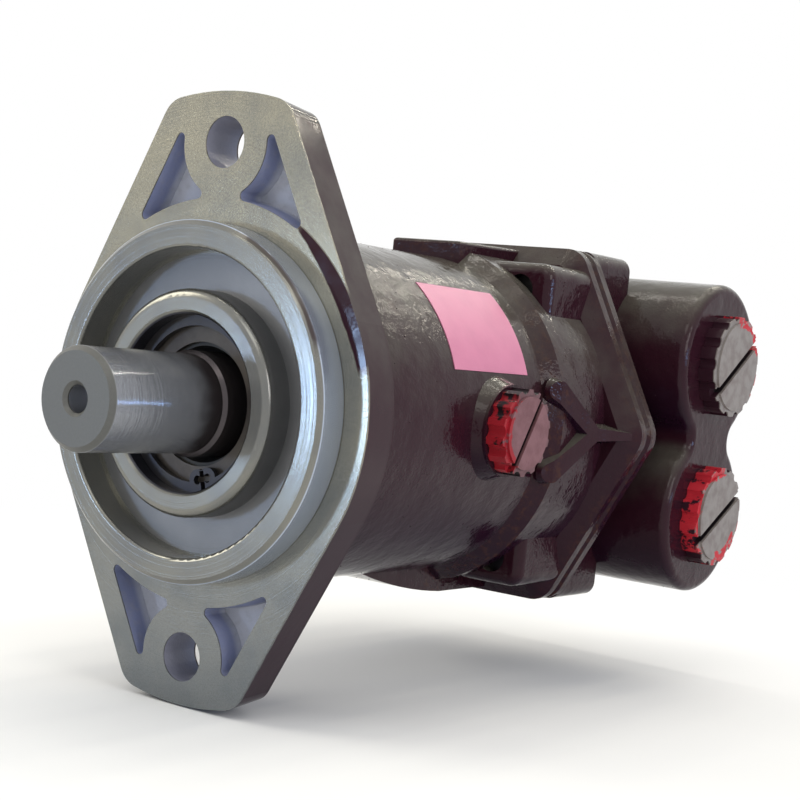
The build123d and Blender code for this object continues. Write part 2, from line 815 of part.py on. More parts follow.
# Pistons, drawn at the rear end of their travel
piston_ball = block_front + 3.5
piston_neck = piston_ball_radius - 2.2
with BuildPart() as piston:
    with BuildSketch(Plane.XZ):
        with BuildLine():
            Polyline(
                (0, 0),
                (piston_neck, 0),
                (piston_neck, piston_ball_radius + 0.5),
                (piston_radius - 1, piston_ball_radius + 2),
                (piston_radius, piston_ball_radius + 3),
                (piston_radius, piston_bore_end - piston_ball - 1),
                (0, piston_bore_end - piston_ball - 1),
                close=True,
            )
        make_face()
    revolve(axis=Axis.Z)
    Sphere(piston_ball_radius)
with BuildPart() as pistons:
    with Locations(station(piston_ball)):
        with PolarLocations(group_pitch, group_count):
            add(piston.part)

# Block spring and what it presses on
front_washer_back = spring_cavity_front + washer_thickness
rear_washer_front = snap_groove - washer_thickness
washer_inner = spline_core + loose
spring_front_washer = ring(washer_inner, spring_cavity_radius - loose, spring_cavity_front, front_washer_back)
spring_rear_washer = ring(washer_inner, spring_cavity_radius - loose, rear_washer_front, snap_groove)
spring_snap_ring = ring(
    spring_cavity_radius - 1.6, spring_cavity_radius + 1, snap_groove, snap_groove + snap_ring_thickness
)
with BuildPart() as push_pins:
    with BuildSketch(station(swivel_centre + guide_hub_length)):
        with PolarLocations(push_pin_pitch, 3, start_angle=20):
            Circle(push_pin_radius)
    extrude(amount=spring_cavity_front - swivel_centre - guide_hub_length)
spring_mean = (washer_inner + spring_cavity_radius - loose) / 2
spring_height = rear_washer_front - front_washer_back - 2 * spring_wire
with BuildPart() as coil:
    with BuildLine():
        turns = Helix(spring_height / spring_turns, spring_height, spring_mean)
    with BuildSketch(Plane(turns @ 0, z_dir=turns % 0)):
        Circle(spring_wire - 0.05)
    sweep(is_frenet=True)
with BuildPart() as block_spring:
    with Locations(station(front_washer_back + spring_wire)):
        add(coil.part)

# Valve plate between block and cover
with BuildPart() as valve_plate:
    with BuildSketch(station(block_back + running)):
        Circle(valve_plate_radius)
        Circle(cup_outer, mode=Mode.SUBTRACT)
        add(kidneys(2 * kidney_radius, kidney_sweep), mode=Mode.SUBTRACT)
        with Locations((valve_pin_x, 0)):
            Circle(valve_pin_radius, mode=Mode.SUBTRACT)
    extrude(amount=cover_front - block_back - running)
with BuildPart() as valve_plate_pin:
    with BuildSketch(station(block_back + 1)):
        with Locations((valve_pin_x, 0)):
            Circle(valve_pin_radius)
    extrude(amount=cover_front + valve_pin_length - block_back - 1)

# Rear needle bearing
rear_bearing_cup = ring(
    cup_inner, cup_outer, needle_bearing_front, needle_bearing_front + needle_bearing_length
)
with BuildPart() as rear_bearing_needles:
    with BuildSketch(station(needle_bearing_front + needle_end_room)):
        with PolarLocations(needle_pitch, needle_count):
            Circle(needle_radius)
    extrude(amount=needle_bearing_length - 2 * needle_end_room)
with BuildPart() as rear_bearing_cage:
    add(ring(rear_journal_radius + loose, cup_inner - loose, needle_bearing_front + 0.8,
             needle_bearing_front + needle_bearing_length - 0.8).part)
    with BuildSketch(station(needle_bearing_front + needle_end_room)):
        with PolarLocations(needle_pitch, needle_count):
            Circle(needle_radius)
    extrude(amount=needle_bearing_length - 2 * needle_end_room, mode=Mode.SUBTRACT)


def plug(face, y, z, head_radius, head_height, shank_radius, shank_length, slot_turn):
    """A plastic port plug: a scalloped head with a slot, and a plain shank in the port."""
    front = face + head_height + plug_crown
    with BuildPart() as body:
        with BuildSketch(Plane.YZ.offset(face)):
            with Locations((y, z)):
                Circle(head_radius)
                with PolarLocations(head_radius + plug_crown, plug_scallops):
                    Circle(plug_scallop_radius, mode=Mode.SUBTRACT)
        extrude(amount=head_height)
        with BuildSketch(Plane.YZ.offset(face + head_height)):
            with Locations((y, z)):
                Circle(head_radius - plug_scallop_radius)
        extrude(amount=plug_crown)
        with BuildSketch(Plane.YZ.offset(face)):
            with Locations((y, z)):
                Circle(shank_radius)
        extrude(amount=-shank_length)
        with BuildSketch(Plane.YZ.offset(front)):
            with Locations(Location((y, z, 0), (0, 0, slot_turn))):
                Rectangle(2 * head_radius + 2, plug_slot_width * head_radius)
        extrude(amount=-head_height / 2, mode=Mode.SUBTRACT)
    return body


upper_port_plug = plug(
    port_face, port_y, port_z, plug_head_radius, plug_head_height, port_bore - running, plug_shank_length, 35
)
lower_port_plug = plug(
    port_face, port_y, -port_z, plug_head_radius, plug_head_height, port_bore - running, plug_shank_length, 30
)
drain_plug = plug(
    drain_face, drain_y, 0, drain_plug_head_radius, drain_plug_head_height, drain_bore - running,
    drain_plug_shank_length, 60,
)


def o_ring(face, y, z, inner, wire):
    """A seal ring under a plug's head, in the counterbore of its port."""
    with BuildPart() as seal:
        with Locations(Plane.YZ.offset(face - wire).location * Location((y, z, 0))):
            Torus(inner + wire, wire)
    return seal


with BuildPart() as port_plug_seals:
    add(o_ring(port_face, port_y, port_z, port_bore, port_seal_wire).part)
    add(o_ring(port_face, port_y, -port_z, port_bore, port_seal_wire).part)
drain_plug_seal = o_ring(drain_face, drain_y, 0, drain_bore, drain_seal_wire)

# Sticker on the barrel
with BuildPart() as sticker:
    with BuildSketch(station(sticker_front)):
        with BuildLine():
            low = 180 - sticker_high_angle
            sweep_angle = sticker_high_angle - sticker_low_angle
            inner_arc = CenterArc((0, 0), barrel_radius, low, sweep_angle)
            outer_arc = CenterArc((0, 0), barrel_radius + sticker_thickness, low, sweep_angle)
            Line(inner_arc @ 0, outer_arc @ 0)
            Line(inner_arc @ 1, outer_arc @ 1)
        make_face()
    extrude(amount=sticker_back - sticker_front)

pieces = {
    "housing": housing,
    "end_cover": end_cover,
    "joint_gasket": joint_gasket,
    "cover_screws": cover_screws,
    "locating_dowels": locating_dowels,
    "drive_shaft": drive_shaft,
    "shaft_seal_case": shaft_seal_case,
    "shaft_seal_lip": shaft_seal_lip,
    "seal_garter_spring": seal_garter_spring,
    "seal_retaining_ring": seal_retaining_ring,
    "front_bearing_outer_race": front_bearing_outer_race,
    "front_bearing_inner_race": front_bearing_inner_race,
    "front_bearing_balls": front_bearing_balls,
    "front_bearing_cage": front_bearing_cage,
    "bearing_retaining_ring": bearing_retaining_ring,
    "cam_plate": cam_plate,
    "cam_plate_pin": cam_plate_pin,
    "slippers": slippers,
    "slipper_retainer": slipper_retainer,
    "retainer_guide": retainer_guide,
    "push_pins": push_pins,
    "cylinder_block": cylinder_block,
    "pistons": pistons,
    "block_spring": block_spring,
    "spring_front_washer": spring_front_washer,
    "spring_rear_washer": spring_rear_washer,
    "spring_snap_ring": spring_snap_ring,
    "valve_plate": valve_plate,
    "valve_plate_pin": valve_plate_pin,
    "rear_bearing_cup": rear_bearing_cup,
    "rear_bearing_needles": rear_bearing_needles,
    "rear_bearing_cage": rear_bearing_cage,
    "upper_port_plug": upper_port_plug,
    "lower_port_plug": lower_port_plug,
    "drain_plug": drain_plug,
    "port_plug_seals": port_plug_seals,
    "drain_plug_seal": drain_plug_seal,
    "sticker": sticker,
}
os.makedirs("parts", exist_ok=True)
for name, piece in pieces.items():
    piece.part.label = name
    export_step(piece.part, f"parts/{name}.step")
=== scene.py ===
# %% [markdown]
# # A hydraulic motor
# The construction comes packed: every piece stands at its real size and place, and can't be moved here.
# This script gives the pieces their finish, adds what is too fine for construction, and sets the picture
# up. Before each step a few sentences tell what the real thing is, and why it is made in this way.

import math

import bpy
from mathutils import Matrix, Vector


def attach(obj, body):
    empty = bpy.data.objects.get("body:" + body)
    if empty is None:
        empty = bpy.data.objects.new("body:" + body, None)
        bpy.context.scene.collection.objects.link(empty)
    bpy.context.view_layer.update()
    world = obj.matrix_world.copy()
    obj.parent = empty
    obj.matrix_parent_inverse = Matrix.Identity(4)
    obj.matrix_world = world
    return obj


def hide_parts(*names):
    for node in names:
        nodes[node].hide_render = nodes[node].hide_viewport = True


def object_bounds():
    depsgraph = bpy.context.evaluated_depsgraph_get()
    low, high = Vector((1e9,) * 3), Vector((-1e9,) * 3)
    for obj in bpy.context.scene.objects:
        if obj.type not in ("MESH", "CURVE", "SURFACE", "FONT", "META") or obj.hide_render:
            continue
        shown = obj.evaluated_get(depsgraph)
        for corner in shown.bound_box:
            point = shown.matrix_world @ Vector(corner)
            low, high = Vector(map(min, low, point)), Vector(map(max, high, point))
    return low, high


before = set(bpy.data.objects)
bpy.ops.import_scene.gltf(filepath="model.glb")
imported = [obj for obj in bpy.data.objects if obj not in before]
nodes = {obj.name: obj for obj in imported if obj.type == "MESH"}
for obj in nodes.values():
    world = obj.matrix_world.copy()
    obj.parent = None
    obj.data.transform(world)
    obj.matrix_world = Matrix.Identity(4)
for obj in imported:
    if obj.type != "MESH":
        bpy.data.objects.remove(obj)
cad_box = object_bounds()
MM = 0.001
print("pieces loaded:", len(nodes))

# %% [markdown]
# ## The camera
# A camera could be moved by hand until the picture looks right. Here its place was worked out from the
# flange: its bolt holes, its pilot and its outline have known sizes, so their ellipses in the photograph
# tell where the lens stood. The picture had been cropped after it was taken, which a shift of the lens
# repeats.

# %% Set the camera
IMAGE_SIZE = 800
FOCAL_PIXELS = 1650
PRINCIPAL_POINT = (464, 546)
CAMERA_PLACE = Vector((0.32235, -0.34747, 0.02355))
CAMERA_AZIMUTH = math.radians(33.41)
CAMERA_ELEVATION = math.radians(6.83)
CAMERA_ROLL = math.radians(5.97)
SENSOR_WIDTH = 36
NEAREST_SEEN = 0.01

forward = Vector((
    -math.sin(CAMERA_AZIMUTH) * math.cos(CAMERA_ELEVATION),
    math.cos(CAMERA_AZIMUTH) * math.cos(CAMERA_ELEVATION),
    -math.sin(CAMERA_ELEVATION),
))
level_right = Vector((math.cos(CAMERA_AZIMUTH), math.sin(CAMERA_AZIMUTH), 0))
level_up = level_right.cross(forward)
right = level_right * math.cos(CAMERA_ROLL) + level_up * math.sin(CAMERA_ROLL)
up = level_up * math.cos(CAMERA_ROLL) - level_right * math.sin(CAMERA_ROLL)
turn = Matrix((right, up, -forward)).transposed().to_4x4()

lens = bpy.data.cameras.new("camera")
lens.sensor_width = SENSOR_WIDTH
lens.lens = FOCAL_PIXELS / IMAGE_SIZE * SENSOR_WIDTH
lens.shift_x = (IMAGE_SIZE / 2 - PRINCIPAL_POINT[0]) / IMAGE_SIZE
lens.shift_y = (PRINCIPAL_POINT[1] - IMAGE_SIZE / 2) / IMAGE_SIZE
lens.clip_start = NEAREST_SEEN
camera = bpy.data.objects.new("camera", lens)
camera.matrix_world = Matrix.Translation(CAMERA_PLACE) @ turn
bpy.context.scene.collection.objects.link(camera)
bpy.context.scene.camera = camera
bpy.context.scene.view_settings.view_transform = "Standard"
print("lens", round(lens.lens, 1), "mm")

# %% [markdown]
# ## A small language for node trees
# A finish is a sum of simple masks: above this height, inside that radius, where this noise is high. Placed
# one by one, such sums take dozens of Math nodes and are hard to read. Here one class wraps a socket, so
# that `1 - mask * 0.5` adds the nodes, and one method adds any other node. Masks come from the place of a
# point on the object, so they need no painted image and stay sharp from near.

# %% Numbers on sockets
EDGE_BLUR = 0.2


class Value:
    """A number on a socket. Arithmetic on it adds Math nodes to its tree."""

    def __init__(self, tree, socket):
        self.tree = tree
        self.socket = socket

    def maths(self, operation, *others):
        """The result of a Math node."""
        node = self.tree.node("ShaderNodeMath", dict(operation=operation), self, *others)
        return Value(self.tree, node.outputs[0])

    def __add__(self, other):
        return self.maths("ADD", other)

    __radd__ = __add__

    def __mul__(self, other):
        return self.maths("MULTIPLY", other)

    __rmul__ = __mul__

    def __sub__(self, other):
        return self.maths("SUBTRACT", other)

    def __rsub__(self, other):
        return (self * -1).maths("ADD", other)

    def __truediv__(self, other):
        return self.maths("DIVIDE", other)

    def __pow__(self, other):
        return self.maths("POWER", other)

    def __abs__(self):
        return self.maths("ABSOLUTE")

    def larger(self, other):
        return self.maths("MAXIMUM", other)

    def rise(self, start, end):
        """0 before start, 1 after end, and smooth between them. It falls where end is the smaller."""
        settings = dict(interpolation_type="SMOOTHSTEP", clamp=True)
        low, high, out_low, out_high = (start, end, 0, 1) if start < end else (end, start, 1, 0)
        node = self.tree.node("ShaderNodeMapRange", settings, self, low, high, out_low, out_high)
        return Value(self.tree, node.outputs[0])

    def over(self, limit, blur=EDGE_BLUR):
        """1 past the limit and 0 before it, blurred by this much on both sides."""
        return self.rise(limit - blur, limit + blur)

    def under(self, limit, blur=EDGE_BLUR):
        """1 before the limit and 0 past it."""
        return self.rise(limit + blur, limit - blur)

    def band(self, start, full, falling, end):
        """1 from full to falling, and 0 outside start and end."""
        return self.rise(start, full) * self.rise(end, falling)


print("an edge blurs over", EDGE_BLUR * 2, "mm where nothing else is said")

# %% Trees of nodes


class Tree:
    """A node tree that is being written."""

    def __init__(self, tree):
        self.tree = tree

    def fill(self, socket, value):
        """Links a socket or sets it. A colour may leave its alpha out."""
        value = value.socket if isinstance(value, Value) else value
        if isinstance(value, bpy.types.NodeSocket):
            self.tree.links.new(value, socket)
        elif value is not None:
            socket.default_value = (*value, 1) if socket.type == "RGBA" else value

    def node(self, kind, settings=None, *inputs, **named):
        """Adds a node. Inputs come in order, or by name with underscores for spaces."""
        node = self.tree.nodes.new(kind)
        for key, value in (settings or {}).items():
            setattr(node, key, value)
        for socket, value in zip(node.inputs, inputs):
            self.fill(socket, value)
        for key, value in named.items():
            title = key.replace("_", " ")
            self.fill(next(item for item in node.inputs if item.name == title and item.enabled), value)
        return node

    def split(self, vector):
        """The three numbers of a vector."""
        return [Value(self, part) for part in self.node("ShaderNodeSeparateXYZ", {}, vector).outputs]

    def join(self, x, y, z):
        """A vector of three numbers."""
        return self.node("ShaderNodeCombineXYZ", {}, x, y, z).outputs[0]

    def shows_backdrop(self):
        """1 for the rays that show or mirror the backdrop, 0 for those that carry its light to the motor."""
        rays = self.node("ShaderNodeLightPath").outputs
        seen = Value(self, rays["Is Camera Ray"])
        for kind in ("Is Glossy Ray", "Is Transmission Ray"):
            seen = seen.larger(Value(self, rays[kind]))
        return seen


class Finish(Tree):
    """A material that is being written. Its x, y and z are the object's own, in millimetres."""

    def __init__(self, name):
        self.material = bpy.data.materials.new(name)
        self.material.use_nodes = True
        super().__init__(self.material.node_tree)
        self.tree.nodes.clear()
        self.place = self.node("ShaderNodeTexCoord").outputs["Object"]
        self.x, self.y, self.z = (part / MM for part in self.split(self.place))

    def radius(self):
        """Distance from the shaft axis, in millimetres."""
        return (self.x ** 2 + self.z ** 2) ** 0.5

    def noise(self, size, detail=2, roughness=0.5, place=None):
        """Cloudy noise whose blotches are about this size, in millimetres."""
        node = self.node("ShaderNodeTexNoise", {}, Vector=place or self.place, Scale=1 / (size * MM),
                         Detail=detail, Roughness=roughness)
        return Value(self, node.outputs["Fac"])

    def rings(self, size):
        """Noise that is the same all round the shaft axis, like the marks of a lathe."""
        return self.noise(size, place=self.join(self.radius() * MM, self.y * MM, 0))

    def mix(self, factor, first, second):
        """A colour between two colours."""
        node = self.node("ShaderNodeMix", dict(data_type="RGBA"), factor)
        self.fill(node.inputs[6], first)
        self.fill(node.inputs[7], second)
        return node.outputs[2]

    def bump(self, height, depth, before=None):
        """Raises the surface by a height map of this depth, in millimetres, on top of an earlier bump."""
        node = self.node("ShaderNodeBump", {}, Strength=1.0, Distance=depth * MM, Height=height,
                         Normal=before)
        return node.outputs[0]

    def surface(self, **sockets):
        """Ends the material with its surface."""
        shader = self.node("ShaderNodeBsdfPrincipled", {}, **sockets)
        self.node("ShaderNodeOutputMaterial", {}, shader.outputs[0])
        return self.material


def dress(material, *names):
    """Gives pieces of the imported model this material."""
    for name in names:
        mesh = nodes[name].data
        mesh.materials.clear()
        mesh.materials.append(material)
    print(material.name, "on", ", ".join(names))


print("millimetres to one unit of Blender:", round(1 / MM))

# %% [markdown]
# ## Gloss black paint over a sand casting
# The casting was shot-blasted and sprayed. Three things shape such a surface: the sand leaves shallow lumps
# a few millimetres wide, the cast skin adds a grain, and the paint dries with a fine orange peel. Real
# relief would take millions of faces, and only the reflections show it, because the colour is almost black.
# So three bumps stand for it. The colour turns with the surface: what faces up is lighter, dust together
# with painted light from above, what faces down is darker, a painted shade, and a little rust creeps out of
# the joint and of the barrel's shoulder.

# %% The black paint
PAINT_SHEEN = 0.17
PAINT_RELIEF = ((12, 2, 0.5), (3.2, 1, 0.12), (0.9, 1, 0.07))
PAINT_CLEAN = (0.025, 0.0062, 0.0115)
# painted shade, for what faces down
PAINT_SHADED_BELOW = (0.015, 0.004, 0.012)
RUST = (0.058, 0.019, 0.010)
# dust together with painted light from above, for what faces up
DUST_AND_TOP_LIGHT = (0.090, 0.084, 0.068)
COVER_JOINT = (134, 139, 145, 150)
BARREL_SHOULDER = (98, 101, 106, 110)
GLOSSIEST = 0.07
DULL_CLOUDS = 0.13


def paint_bumps(finish, amount=1, before=None):
    """Lumps, grain and orange peel, each given by its size, its detail and its depth."""
    for size, detail, depth in PAINT_RELIEF:
        before = finish.bump(finish.noise(size, detail=detail) * amount, depth, before)
    return before


def paint_colour(finish):
    """Black with a brown cast, rust in two seams, dust and painted light on top, painted shade below."""
    facing_up = finish.split(finish.node("ShaderNodeNewGeometry").outputs["Normal"])[2]
    clouds = finish.noise(9, detail=4) - 0.5
    # What faces down is darker: painted shade.
    clean = finish.mix(facing_up.rise(0, -0.8), PAINT_CLEAN, PAINT_SHADED_BELOW)
    seams = finish.y.band(*COVER_JOINT).larger(finish.y.band(*BARREL_SHOULDER))
    rusty = seams * finish.noise(2.6, detail=4, roughness=0.65).rise(0.48, 0.68)
    clean = finish.mix(rusty * 0.5, clean, RUST)
    # What faces up is lighter: dust together with painted light from above.
    return finish.mix((facing_up + clouds * 0.6).rise(0.0, 1.2), clean, DUST_AND_TOP_LIGHT)


def paint_roughness(finish):
    """Glossy, with duller clouds where the coat is thin."""
    return GLOSSIEST + DULL_CLOUDS * finish.noise(7, detail=3).rise(0.35, 0.75)


paint = Finish("black_paint")
paint.surface(
    Base_Color=paint_colour(paint),
    Roughness=paint_roughness(paint),
    Specular_IOR_Level=PAINT_SHEEN,
    Normal=paint_bumps(paint),
)
dress(paint.material, "end_cover")

# %% [markdown]
# ## The housing: one casting, several finishes
# The flange's front was machined bare after painting, its pockets stay as cast, and the rest is painted.
# The casting could be cut into pieces with a material each, but then its one skin would show seams. Instead
# one material holds all of them, and masks choose: how far a point lies behind the machined face, how far
# from the shaft axis, how near the flange's slanted sides, and how near a bolt hole.

# %% Where each finish of the housing lies
FLANGE_ANGLE = math.radians(28)
FLANGE_BACK = 13
CUT_DEPTH = 0.85
PILOT_RADIUS = 50.8
RECESS_RADIUS = 43.2
HUB_RADIUS = 32
HUB_FRONT = -9
SEAL_BORE = 25
WAIST_RADIUS = 58.8
POCKET_SIDE = 52
POCKET_INNER = 56.8
POCKET_START = 0.35
POCKET_DEPTH = 8.5
POCKET_BACK = 10.5
POCKET_NEAREST = 31
POCKET_FARTHEST = 79.25
BOLT_OFFSET = 73.025
BOLT_BOSS = 14.3
BOLT_WALL = 8.25

casing = Finish("housing_finish")
depth = casing.y
radius = casing.radius()
height = abs(casing.z)
side = abs(casing.x) * math.cos(FLANGE_ANGLE) + height * math.sin(FLANGE_ANGLE)
bolt = (casing.x ** 2 + (height - BOLT_OFFSET) ** 2) ** 0.5
wander = casing.noise(5, detail=4, roughness=0.65) - 0.5

pocket = depth.over(POCKET_START, 0.15) * depth.under(POCKET_BACK, 0.5) * side.under(POCKET_SIDE)
pocket = pocket * radius.over(POCKET_INNER) * bolt.over(BOLT_BOSS)
pocket = pocket * height.over(POCKET_NEAREST, 1) * height.under(POCKET_FARTHEST, 0.25)
bolt_wall = bolt.under(BOLT_WALL, 0.15) * depth.over(POCKET_START, 0.15) * depth.under(FLANGE_BACK, 0.4)
front = (depth + wander).under(CUT_DEPTH, 0.25)
inside = radius.under(RECESS_RADIUS + 0.8)
recess = radius.under(RECESS_RADIUS - 0.9, 0.3) * radius.over(HUB_RADIUS - 0.55, 0.25)
recess = recess * depth.over(HUB_FRONT + 1.8, 0.6)
seal_bore = radius.under(SEAL_BORE + 0.4)
print("pockets between", POCKET_NEAREST, "and", POCKET_FARTHEST, "mm from the middle")

# %% [markdown]
# ### Paint that strayed onto the machined face
# The cutter left two slivers of the old paint: a long crescent beside the pilot where the casting was low,
# and a thin thread round the pilot's front edge. The flange's edges kept crumbs of paint too. Each is a
# band between two angles round the shaft axis, with noise on its edge.

# %% The strayed paint
CRESCENT_START = 14.5
CRESCENT_END = 61
CRESCENT_MIDDLE = 32
CRESCENT_REACH = 30
CRESCENT_INNER = 54.2
CRESCENT_BEND = 4.2
THREAD_START = 23
THREAD_END = 70
THREAD_DEPTH = -8.1
RIM_SIDE = 59.5

angle = casing.z.maths("ARCTAN2", casing.x) * (180 / math.pi)
swing = (angle - CRESCENT_MIDDLE) / CRESCENT_REACH
sliver = radius - CRESCENT_INNER - CRESCENT_BEND * swing * swing + wander * 0.9
crescent = sliver.rise(0, 0.5) * radius.under(WAIST_RADIUS + 0.6, 0.3) * depth.over(-POCKET_START, 0.15)
crescent = crescent * (angle + wander * 5).over(CRESCENT_START, 1.5) * angle.under(CRESCENT_END, 3)
thread = (radius + wander * 0.4).over(PILOT_RADIUS - 0.95, 0.15) * (depth + wander).under(THREAD_DEPTH)
thread = thread * (angle + wander * 8).over(THREAD_START, 3) * angle.under(THREAD_END, 4)
rim_crumbs = (side + wander * 2.4).over(RIM_SIDE) * casing.noise(3.5, detail=4).over(0.56, 0.06)
strayed = crescent.larger(thread * 0.8).larger(rim_crumbs)
bare = front.larger(inside) * (1 - pocket) * (1 - bolt_wall)
painted = (1 - bare.larger(pocket).larger(bolt_wall)).larger(strayed)
print("crescent of paint from", CRESCENT_START, "to", CRESCENT_END, "degrees")

# %% [markdown]
# ### Bare iron
# Freshly cut grey iron is warm, and sand grains leave dark freckles. The face turns cooler and darker
# towards the bottom, a painted shade, and the pilot's ring and hub take a cooler, darker tone. The pilot's
# turned side is tinted blue, a painted reflection of the cool light. As-cast iron in the pockets is bluish
# and dull; the pockets' walls are darker and bluer than their floor, and the bolt holes' walls are darker
# too, both painted shade. Every tone has a light and a dark shade, mixed by one slow noise. The tones are
# laid over one another in a list, the later ones on top.

# %% The bare iron and the whole casting
FRONT_IRON = ((0.335, 0.312, 0.240), (0.245, 0.238, 0.203))
# painted shade, laid over the lower part of the face
LOW_IRON_PAINTED_SHADE = ((0.205, 0.215, 0.215), (0.155, 0.170, 0.180))
PILOT_IRON = ((0.218, 0.214, 0.190), (0.172, 0.174, 0.170))
RECESS_IRON = ((0.185, 0.188, 0.195), (0.22, 0.222, 0.226))
# iron tinted blue: a painted reflection of the cool light
TURNED_IRON_AND_BLUE_GLARE = (0.41, 0.46, 0.55)
FRECKLE = (0.16, 0.145, 0.125)
SAND = (0.10, 0.095, 0.085)
# nearly black, for the seal bore
DARK_BORE = (0.035, 0.035, 0.045)
# painted shade, tinted by the cool light, on the pockets' walls
POCKET_WALL_PAINTED_SHADE = (0.225, 0.250, 0.385)
POCKET_FLOOR_IRON = (0.47, 0.485, 0.545)
CAST_SPECK = (0.30, 0.30, 0.325)
# painted shade on the bolt holes' walls
BOLT_WALL_PAINTED_SHADE = (0.225, 0.23, 0.29)
METAL_SHARE = 0.75

stain = casing.noise(26, detail=5, roughness=0.62).rise(0.36, 0.7)
# Darker and cooler towards the bottom: painted shade
low = (casing.z + wander * 20).rise(20, -90)
freckles = casing.noise(2.2, detail=4, roughness=0.7).rise(0.58, 0.76)
sand = casing.noise(0.6, detail=2, roughness=0.7).rise(0.35, 0.7)
cool = (radius + wander * 1.5).under(PILOT_RADIUS + 0.2, 0.6)
# The pilot's turned side gets a painted blue reflection of the cool light
turned_side = radius.over(PILOT_RADIUS - 0.25, 0.15) * depth.over(HUB_FRONT) * depth.under(-0.25, 0.15)
layers = (
    (low, casing.mix(stain, *LOW_IRON_PAINTED_SHADE)),
    (freckles * 0.5, FRECKLE),
    (sand * 0.35, SAND),
    (cool, casing.mix(stain, *PILOT_IRON)),
    (turned_side, TURNED_IRON_AND_BLUE_GLARE),
    (recess, casing.mix(stain, *RECESS_IRON)),
    (seal_bore, DARK_BORE),
)
machined = casing.mix(stain, *FRONT_IRON)
for cover, tone in layers:
    machined = casing.mix(cover, machined, tone)

# The pockets' walls are darker and bluer than their floor: painted shade under the cool light
cast = casing.mix(depth.rise(POCKET_DEPTH - 3.5, POCKET_DEPTH - 0.6), POCKET_WALL_PAINTED_SHADE, POCKET_FLOOR_IRON)
cast = casing.mix(casing.noise(2.6, detail=4).rise(0.45, 0.75) * 0.35, cast, CAST_SPECK)
# The bolt holes' walls are darker: painted shade
cast = casing.mix(bolt_wall, cast, BOLT_WALL_PAINTED_SHADE)
metal = casing.mix(pocket.larger(bolt_wall), machined, cast)

turned = casing.bump(casing.rings(0.45) * bare * (1 - painted), 0.04)
pitted = casing.bump(casing.noise(1.1, detail=3) * pocket.larger(bolt_wall), 0.12, turned)
iron_roughness = 0.17 + 0.10 * casing.noise(1.6, detail=3, roughness=0.7) + 0.4 * pocket + 0.22 * recess
casing.surface(
    Base_Color=casing.mix(painted, metal, paint_colour(casing)),
    Metallic=bare * (1 - painted) * METAL_SHARE,
    Roughness=painted * paint_roughness(casing) + (1 - painted) * iron_roughness,
    Specular_IOR_Level=PAINT_SHEEN,
    Normal=paint_bumps(casing, painted * (0.12 + 0.88 * depth.rise(12, 20)), pitted),
)
dress(casing.material, "housing")

# %% [markdown]
# ## The drive shaft
# The shaft is ground: marks far finer than a pixel run round it, and draw each lamp out into a line along
# it. An anisotropic surface would do the same, but its direction needs a tangent that the export can't
# keep. So a very fine noise along the axis tilts the surface instead, and the line comes by itself. Towards
# the seal the steel is dull with oil, and the sawn end is grey.

# %% The ground shaft
SHAFT_END = -46.6
OIL_EDGE = -13
BRUSH_SIZE = 0.05
BRUSH_DEPTH = 0.014

ground = Finish("ground_shaft")
end_face = ground.y.under(SHAFT_END)
oily = (ground.y + (ground.noise(6, detail=3) - 0.5) * 8).over(OIL_EDGE, 4)
brush = ground.noise(BRUSH_SIZE, detail=0, place=ground.join(0, ground.y * MM, 0))
speckle = ground.noise(0.8, detail=3, roughness=0.7)
journal = ground.mix(speckle.rise(0.4, 0.7), (0.37, 0.38, 0.41), (0.31, 0.32, 0.35))
journal = ground.mix(oily * 0.95, journal, (0.05, 0.04, 0.042))
sawn = ground.mix(speckle, (0.098, 0.098, 0.092), (0.13, 0.13, 0.123))
ground.surface(
    Base_Color=ground.mix(end_face, journal, sawn),
    Metallic=METAL_SHARE - 0.1 * end_face,
    Roughness=0.10 + 0.06 * speckle + 0.34 * end_face + 0.12 * oily,
    Normal=ground.bump(brush, BRUSH_DEPTH),
)
dress(ground.material, "drive_shaft")

# %% [markdown]
# ## The other metals
# Races are hardened and polished, the block and the plates are ground, springs and clips are black, and
# what slides on them is bronze. They differ in tone and gloss, not in kind, so one function makes them all
# from a table. Its fine rings are the marks of the lathe.

# %% Steel, bronze and black oxide
RING_SIZE = 0.25
RING_DEPTH = 0.006
GRAIN_SIZE = 1.5
GRAIN_SPREAD = 0.14


def metal_finish(name, light, dark, roughness, metallic):
    """Bare metal: two tones in soft blotches, with fine turning marks round the shaft axis."""
    finish = Finish(name)
    blotch = finish.noise(12, detail=4, roughness=0.6).rise(0.35, 0.75)
    return finish.surface(
        Base_Color=finish.mix(blotch, light, dark),
        Metallic=metallic,
        Roughness=roughness + GRAIN_SPREAD * finish.noise(GRAIN_SIZE, detail=3) - GRAIN_SPREAD / 2,
        Normal=finish.bump(finish.rings(RING_SIZE), RING_DEPTH),
    )


